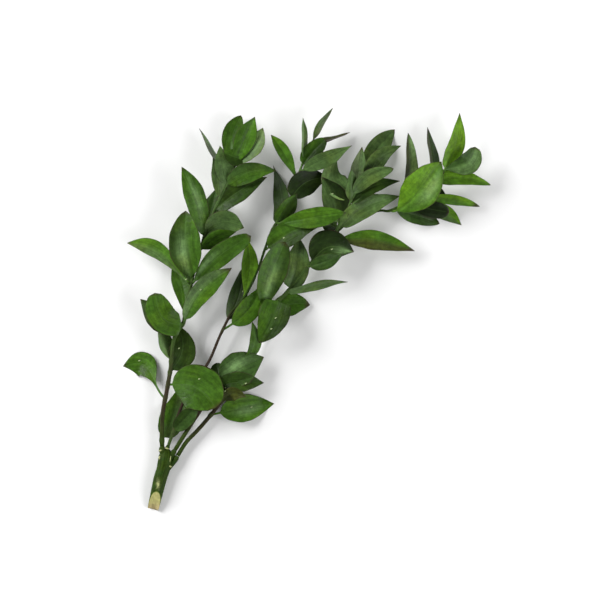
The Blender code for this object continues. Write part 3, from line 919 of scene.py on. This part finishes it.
def add_lump(surface, centre, sizes, heading, tone, bumps):
    """Add a small rough lump. sizes are its half lengths along its heading, across it and upwards."""
    rows = []
    turn = Matrix.Rotation(heading, 3, "Z")
    for ring in range(1, LUMP_RINGS):
        polar = math.pi * ring / LUMP_RINGS
        row = []
        for corner in range(LUMP_SIDES):
            angle = math.tau * corner / LUMP_SIDES
            flat = math.sin(polar)
            ray = Vector((math.cos(angle) * flat, math.sin(angle) * flat, -math.cos(polar)))
            reach = 1 + bumps * noise.noise(ray * LUMP_NOISE_SCALE + centre)
            spot = centre + turn @ Vector([size * reach * part for size, part in zip(sizes, ray)])
            place = (corner / LUMP_SIDES, ring / LUMP_RINGS)
            row.append((surface.add_point(spot), place, (MM * spot.x, MM * spot.y), tone))
        rows.append(row)
    surface.add_rows(rows, closed=True)
    surface.add_face(list(reversed(rows[0])))
    surface.add_face(rows[-1])


def top_of(trees, x, y):
    """The highest point of some surfaces at x and y, in millimetres."""
    above = Vector((x * MM, y * MM, 1.0))
    hits = [tree.ray_cast(above, -UP)[0] for tree in trees]
    heights = [hit.z / MM for hit in hits if hit]
    return Vector((x, y, max(heights, default=0.0)))


def make_buds(leaves):
    """The flower buds, on whichever leaf is uppermost at each place."""
    graph = bpy.context.evaluated_depsgraph_get()
    trees = [BVHTree.FromObject(item, graph) for item in leaves]
    surface = Surface()
    for x, y in BUDS:
        seat = top_of(trees, x, y)
        for shift, share in BUD_PAIR:
            size = BUD_SIZE * share
            centre = seat + Vector((*shift, BUD_LIFT * size))
            add_lump(surface, centre, (size, size, size * BUD_FLATNESS), 0.0, TONES["bud"], BUD_BUMPS)
    return surface.build("flower_buds", [bud_material()])


def make_scales(roots, draws):
    """A dry scale on the stem below each leaf's root. roots holds each branch with its roots."""
    surface = Surface()
    for branch, spots in roots:
        axis, radii = stem_axis(branch, SNAP_STEPS)
        for spot in spots:
            index = axis.index(nearest(axis, spot))
            forward = direction_at(axis, index)
            outward = UP.cross(forward).normalized() * draws.choice((1, -1))
            centre = spot - SCALE_SHIFT * forward
            centre += radii[index] * (SCALE_UP * UP + SCALE_OUT * outward)
            heading = math.atan2(forward.y, forward.x) + draws.uniform(-SCALE_TURN, SCALE_TURN)
            add_lump(surface, centre, SCALE_SIZES, heading, TONES["dry"], SCALE_BUMPS)
    return surface.build("joint_scales", [bark_material("dry_scale")])


def make_scars(cane):
    """The pale torn fibres on the cane's head."""
    bark = [BVHTree.FromObject(cane, bpy.context.evaluated_depsgraph_get())]
    surface = Surface()
    for x, y, length, width, heading in SCARS:
        seat = top_of(bark, x, y)
        sizes = (length / 2, width / 2, SCAR_HEIGHT)
        add_lump(surface, seat, sizes, math.radians(heading), TONES["torn"], SCAR_BUMPS)
    return surface.build("torn_scars", [cut_material()])


class Nodes:
    """A material's node tree, with short calls for the nodes that the materials here use."""

    def __init__(self, name, specular):
        self.material = bpy.data.materials.new(name)
        self.material.use_nodes = True
        self.tree = self.material.node_tree
        self.shader = self.tree.nodes["Principled BSDF"]
        self.shader.inputs["Specular IOR Level"].default_value = specular

    def set_input(self, socket, value):
        """Link a socket to another node's output, or give it a plain value."""
        if isinstance(value, bpy.types.NodeSocket):
            self.tree.links.new(value, socket)
        else:
            socket.default_value = value

    def tone(self):
        """The colour that the mesh carries."""
        node = self.tree.nodes.new("ShaderNodeAttribute")
        node.attribute_name = "tone"
        return node.outputs["Color"]

    def place(self, layer):
        """The two coordinates that one of the mesh's layers carries."""
        node = self.tree.nodes.new("ShaderNodeUVMap")
        node.uv_map = layer
        parts = self.tree.nodes.new("ShaderNodeSeparateXYZ")
        self.tree.links.new(node.outputs["UV"], parts.inputs[0])
        return parts.outputs["X"], parts.outputs["Y"]

    def stretched(self, layer, across, along):
        """A layer's two coordinates, each times its own number, as a vector."""
        x, y = self.place(layer)
        return self.vector(self.math("MULTIPLY", x, across), self.math("MULTIPLY", y, along))

    def position(self):
        """The point's own position."""
        return self.tree.nodes.new("ShaderNodeTexCoord").outputs["Object"]

    def math(self, operation, first, second=0.0, third=0.0):
        """The result of a Math node."""
        node = self.tree.nodes.new("ShaderNodeMath")
        node.operation = operation
        for socket, value in zip(node.inputs, (first, second, third)):
            self.set_input(socket, value)
        return node.outputs[0]

    def vector(self, x, y, z=0.0):
        """A vector from three numbers."""
        node = self.tree.nodes.new("ShaderNodeCombineXYZ")
        for socket, value in zip(node.inputs, (x, y, z)):
            self.set_input(socket, value)
        return node.outputs[0]

    def noise(self, where, scale, detail=3.0):
        """Cloudy noise from 0 to 1."""
        node = self.tree.nodes.new("ShaderNodeTexNoise")
        self.set_input(node.inputs["Vector"], where)
        node.inputs["Scale"].default_value = scale
        node.inputs["Detail"].default_value = detail
        return node.outputs["Fac"]

    def ramp(self, value, low, high, start=0.0, end=1.0):
        """The value mapped smoothly from low and high to start and end."""
        node = self.tree.nodes.new("ShaderNodeMapRange")
        node.interpolation_type = "SMOOTHSTEP"
        self.set_input(node.inputs["Value"], value)
        for socket, number in zip(("From Min", "From Max", "To Min", "To Max"), (low, high, start, end)):
            node.inputs[socket].default_value = number
        return node.outputs[0]

    def mix(self, factor, first, second, blend="MIX"):
        """Two colours mixed. The node's colours go in at 6 and 7, and the mixed one comes out at 2."""
        node = self.tree.nodes.new("ShaderNodeMix")
        node.data_type = "RGBA"
        node.blend_type = blend
        self.set_input(node.inputs[0], factor)
        self.set_input(node.inputs[6], first)
        self.set_input(node.inputs[7], second)
        return node.outputs[2]

    def brighten(self, color, value, depth):
        """A colour made lighter or darker by up to a depth, by noise."""
        swing = self.ramp(value, low=0.28, high=0.72, start=-1.0, end=1.0)
        factor = self.math("MULTIPLY_ADD", swing, depth, 1.0)
        return self.mix(1.0, color, self.vector(factor, factor, factor), "MULTIPLY")

    def finish(self, color, roughness, height, bump_depth):
        """Wire the shader's colour, roughness and bump, and return the material."""
        self.tree.links.new(color, self.shader.inputs["Base Color"])
        self.tree.links.new(roughness, self.shader.inputs["Roughness"])
        bump = self.tree.nodes.new("ShaderNodeBump")
        bump.inputs["Distance"].default_value = bump_depth
        self.tree.links.new(height, bump.inputs["Height"])
        self.tree.links.new(bump.outputs["Normal"], self.shader.inputs["Normal"])
        return self.material


def kept(name):
    """A material that an earlier call has already made, or nothing."""
    return bpy.data.materials.get(name)


def leaf_material():
    """Waxy leaf: fine veins along it, a pale midrib, cloudy mottling and a thin brown rim."""
    if kept("waxy_leaf"):
        return kept("waxy_leaf")
    nodes = Nodes("waxy_leaf", specular=0.13)
    across = nodes.place("place")[0]
    where = nodes.position()
    aside = nodes.math("ABSOLUTE", nodes.math("MULTIPLY_ADD", across, 2.0, -1.0))
    cloud = nodes.noise(where, scale=70.0, detail=5.0)
    blotch = nodes.noise(where, scale=260.0, detail=3.0)
    hue = nodes.noise(where, scale=38.0, detail=2.0)
    grain = nodes.noise(where, scale=1300.0, detail=2.0)
    veins = nodes.noise(nodes.stretched("lengths", across=900.0, along=40.0), scale=1.0, detail=2.0)
    bands = nodes.noise(nodes.stretched("lengths", across=260.0, along=22.0), scale=1.0, detail=2.0)
    color = nodes.brighten(nodes.tone(), cloud, depth=0.2)
    color = nodes.brighten(color, blotch, depth=0.2)
    color = nodes.brighten(color, bands, depth=0.16)
    color = nodes.brighten(color, veins, depth=0.14)
    color = nodes.brighten(color, grain, depth=0.12)
    yellow = nodes.mix(1.0, color, (1.16, 1.04, 0.8, 1.0), "MULTIPLY")
    color = nodes.mix(nodes.ramp(hue, low=0.44, high=0.7), color, yellow)
    rib = nodes.ramp(aside, low=0.01, high=0.05, start=0.3, end=0.0)
    color = nodes.mix(rib, color, (*TONES["soft"], 1.0))
    edge = nodes.ramp(aside, low=0.93, high=0.985)
    rim = nodes.math("MULTIPLY", edge, nodes.ramp(cloud, low=0.38, high=0.6, start=0.25, end=0.9))
    color = nodes.mix(rim, color, (*TONES["dry"], 1.0))
    roughness = nodes.ramp(cloud, low=0.3, high=0.7, start=0.3, end=0.44)
    height = nodes.math("MULTIPLY_ADD", grain, 0.3, nodes.math("ADD", veins, bands))
    height = nodes.math("MULTIPLY_ADD", blotch, 1.5, height)
    return nodes.finish(color, roughness, height, bump_depth=0.0003)


def bark_material(name):
    """Bark, or a dry scale of it: fine streaks along the stem."""
    if kept(name):
        return kept(name)
    nodes = Nodes(name, specular=0.06)
    streak = nodes.noise(nodes.stretched("place", across=26.0, along=90.0), scale=1.0)
    grain = nodes.noise(nodes.position(), scale=700.0)
    color = nodes.brighten(nodes.tone(), streak, depth=0.34)
    color = nodes.brighten(color, grain, depth=0.14)
    roughness = nodes.ramp(streak, low=0.3, high=0.7, start=0.45, end=0.6)
    height = nodes.math("MULTIPLY_ADD", grain, 0.5, streak)
    return nodes.finish(color, roughness, height, bump_depth=0.0004)


def cut_material():
    """Freshly cut pale wood: fibres along the cane and faint stains."""
    if kept("cut_wood"):
        return kept("cut_wood")
    nodes = Nodes("cut_wood", specular=0.2)
    stain = nodes.noise(nodes.position(), scale=260.0)
    fibre = nodes.noise(nodes.stretched("lengths", across=1400.0, along=160.0), scale=1.0)
    color = nodes.brighten(nodes.tone(), stain, depth=0.12)
    color = nodes.brighten(color, fibre, depth=0.14)
    roughness = nodes.ramp(stain, low=0.3, high=0.7, start=0.65, end=0.8)
    return nodes.finish(color, roughness, fibre, bump_depth=0.0003)


def bud_material():
    """Small waxy buds."""
    nodes = Nodes("bud_wax", specular=0.4)
    cloud = nodes.noise(nodes.position(), scale=900.0)
    color = nodes.brighten(nodes.tone(), cloud, depth=0.15)
    roughness = nodes.ramp(cloud, low=0.3, high=0.7, start=0.4, end=0.55)
    return nodes.finish(color, roughness, cloud, bump_depth=0.0002)


def make_floor():
    """A wide pale table top."""
    mesh = bpy.data.meshes.new("table_top")
    sides = ((-1, -1), (1, -1), (1, 1), (-1, 1))
    mesh.from_pydata([(x * FLOOR_HALF, y * FLOOR_HALF, 0.0) for x, y in sides], [], [(0, 1, 2, 3)])
    floor = bpy.data.objects.new("table_top", mesh)
    bpy.context.scene.collection.objects.link(floor)
    material = bpy.data.materials.new("pale_table")
    material.use_nodes = True
    shader = material.node_tree.nodes["Principled BSDF"]
    shader.inputs["Base Color"].default_value = (0.9, 0.9, 0.9, 1.0)
    shader.inputs["Roughness"].default_value = 0.9
    shader.inputs["Specular IOR Level"].default_value = 0.1
    mesh.materials.append(material)


def add_softbox(name, place, size, watts):
    """A square soft light that faces the origin."""
    data = bpy.data.lights.new(name, "AREA")
    data.shape = "SQUARE"
    data.size = size
    data.energy = watts
    lamp = bpy.data.objects.new(name, data)
    lamp.location = place
    lamp.rotation_euler = Vector(place).to_track_quat("Z", "Y").to_euler()
    bpy.context.scene.collection.objects.link(lamp)


def make_light():
    """Even studio light: a pale surround and soft lights on both sides."""
    world = bpy.data.worlds.new("studio")
    world.use_nodes = True
    sky = world.node_tree.nodes["Background"]
    sky.inputs["Color"].default_value = (1.0, 1.0, 1.0, 1.0)
    sky.inputs["Strength"].default_value = SURROUND_STRENGTH
    bpy.context.scene.world = world
    add_softbox("key_light", **KEY_LIGHT)
    add_softbox("fill_light", **FILL_LIGHT)
    bpy.context.scene.view_settings.view_transform = "Standard"
    bpy.context.scene.view_settings.exposure = 0.0


def make_camera():
    """A long lens straight above the spray, so that one picture point is one millimetre."""
    data = bpy.data.cameras.new("camera")
    data.sensor_width = CAMERA_SENSOR
    data.lens = CAMERA_LENS
    data.clip_end = CAMERA_REACH
    camera = bpy.data.objects.new("camera", data)
    camera.location = CAMERA_PLACE
    bpy.context.scene.collection.objects.link(camera)
    bpy.context.scene.camera = camera


def main():
    """Build every piece, hang each from the root body, and light the scene."""
    draws = random.Random(SEED)
    leaves = []
    stems = []
    all_roots = []
    for branch in BRANCHES:
        snap = smooth_route(branch.route, SNAP_STEPS)
        roots = [nearest(snap, leaf.root) for leaf in branch.leaves]
        foliage = make_leaves(branch, roots, draws)
        stem = make_stem(branch, roots)
        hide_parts(branch.name)
        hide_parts(branch.name)
        leaves.append(foliage)
        stems.append(stem)
        all_roots.append((branch, roots))
    cane = make_cane()
    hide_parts("main_cane")
    small = (make_buds(leaves), make_scales(all_roots, draws), make_scars(cane))
    for piece in leaves:
        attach(piece, "root")
    for piece in (*stems, cane, *small):
        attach(piece, "root")
    make_floor()
    make_light()
    make_camera()


main()
